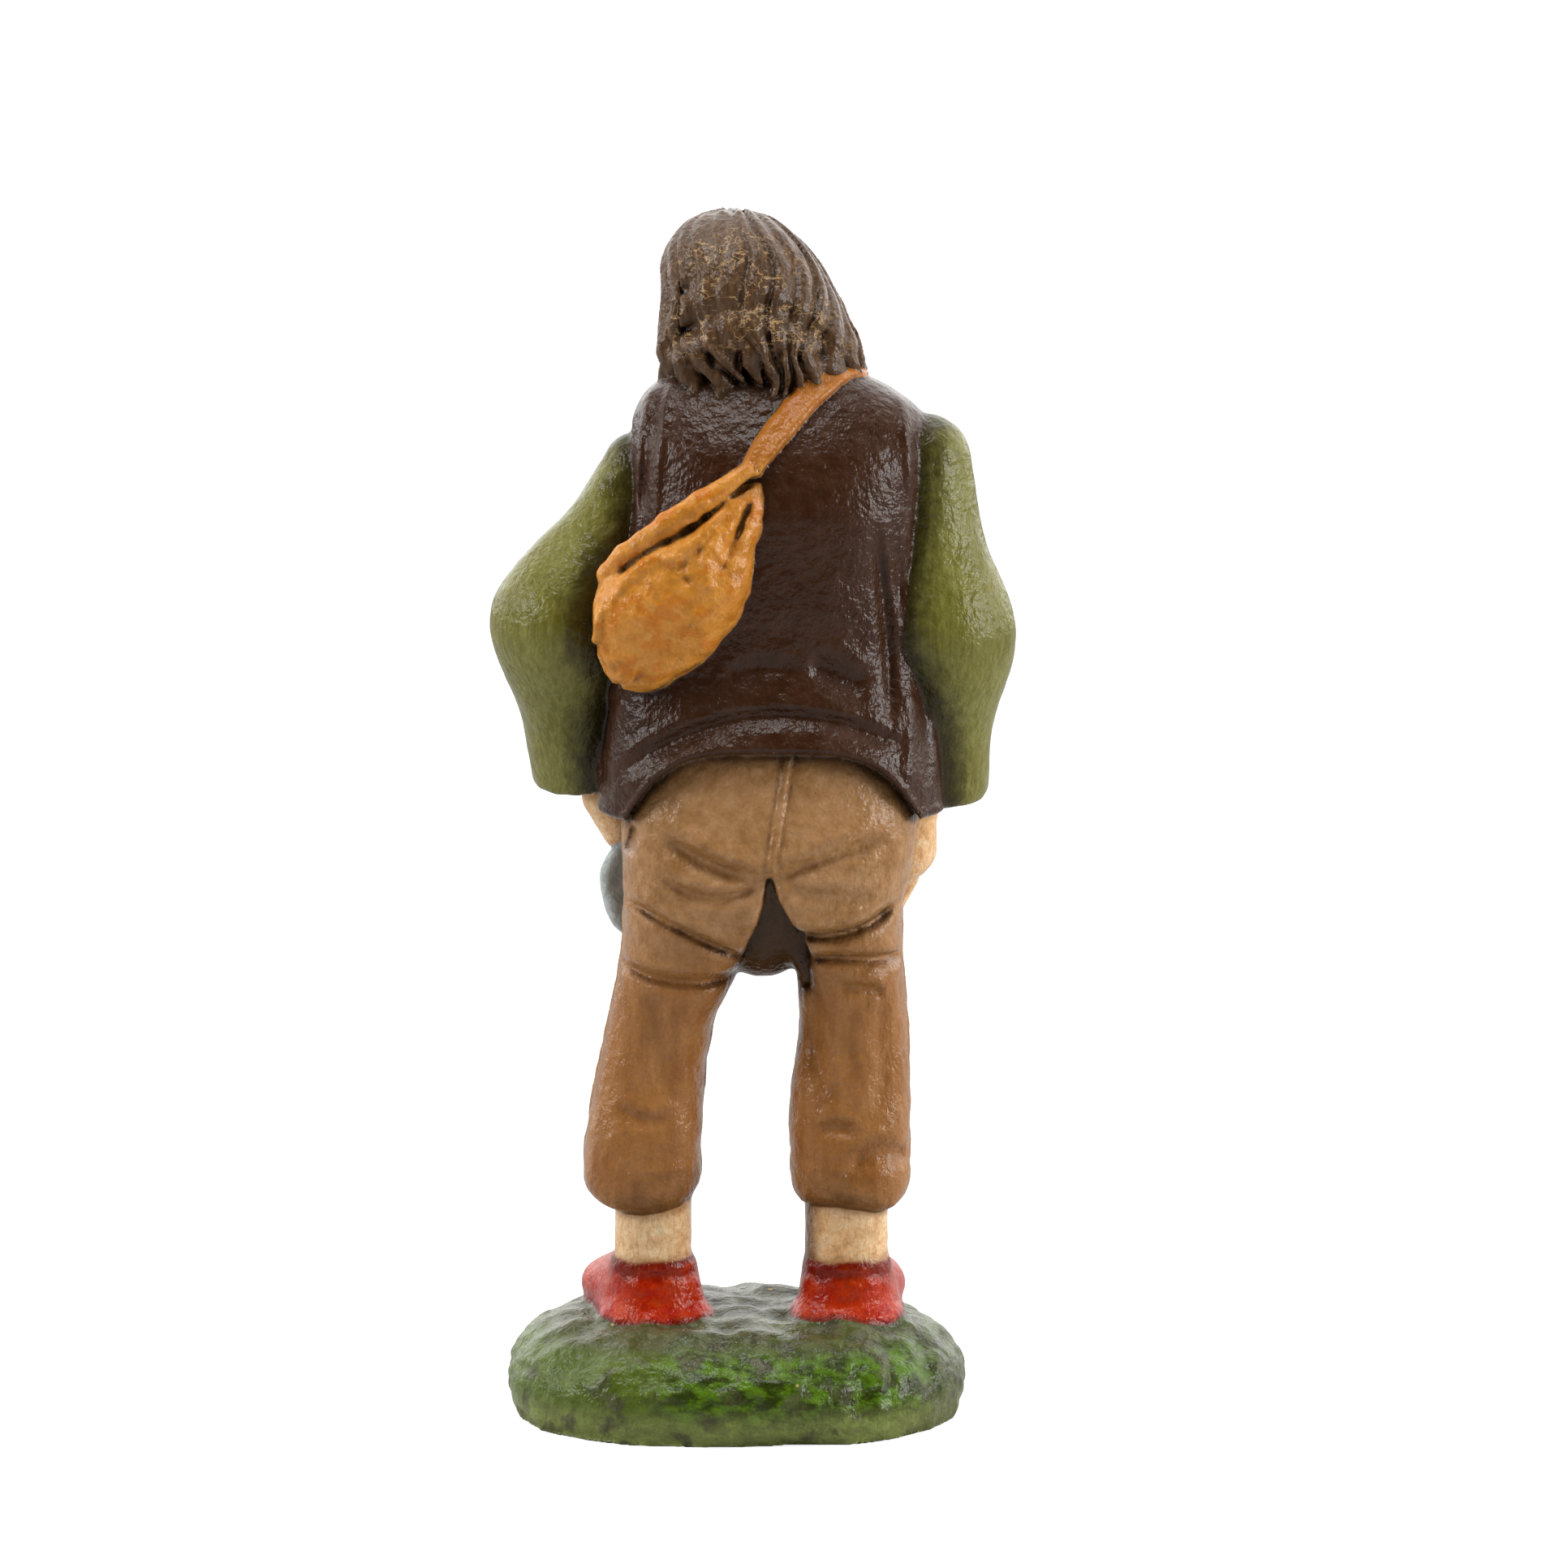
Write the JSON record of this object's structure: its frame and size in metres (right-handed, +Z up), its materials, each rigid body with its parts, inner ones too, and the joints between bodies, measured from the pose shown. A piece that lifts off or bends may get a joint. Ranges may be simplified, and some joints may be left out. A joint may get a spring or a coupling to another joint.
{
  "type": "painted nativity shepherd figure",
  "caption": "Small moulded and painted figure of a standing shepherd with a satchel on his back and a hat in his hand, on an oval green base.",
  "frame": {"origin": "middle of the base's oval, on its flat underside", "axes": "+Z up, the figure faces -Y, his own left hand is on +X"},
  "size_m": [0.049, 0.0354, 0.1192],
  "materials": {
    "painted_composition": "satin"
  },
  "bodies": {
    "root": {"shepherd_figure": "painted_composition"}
  },
  "joints": []
}
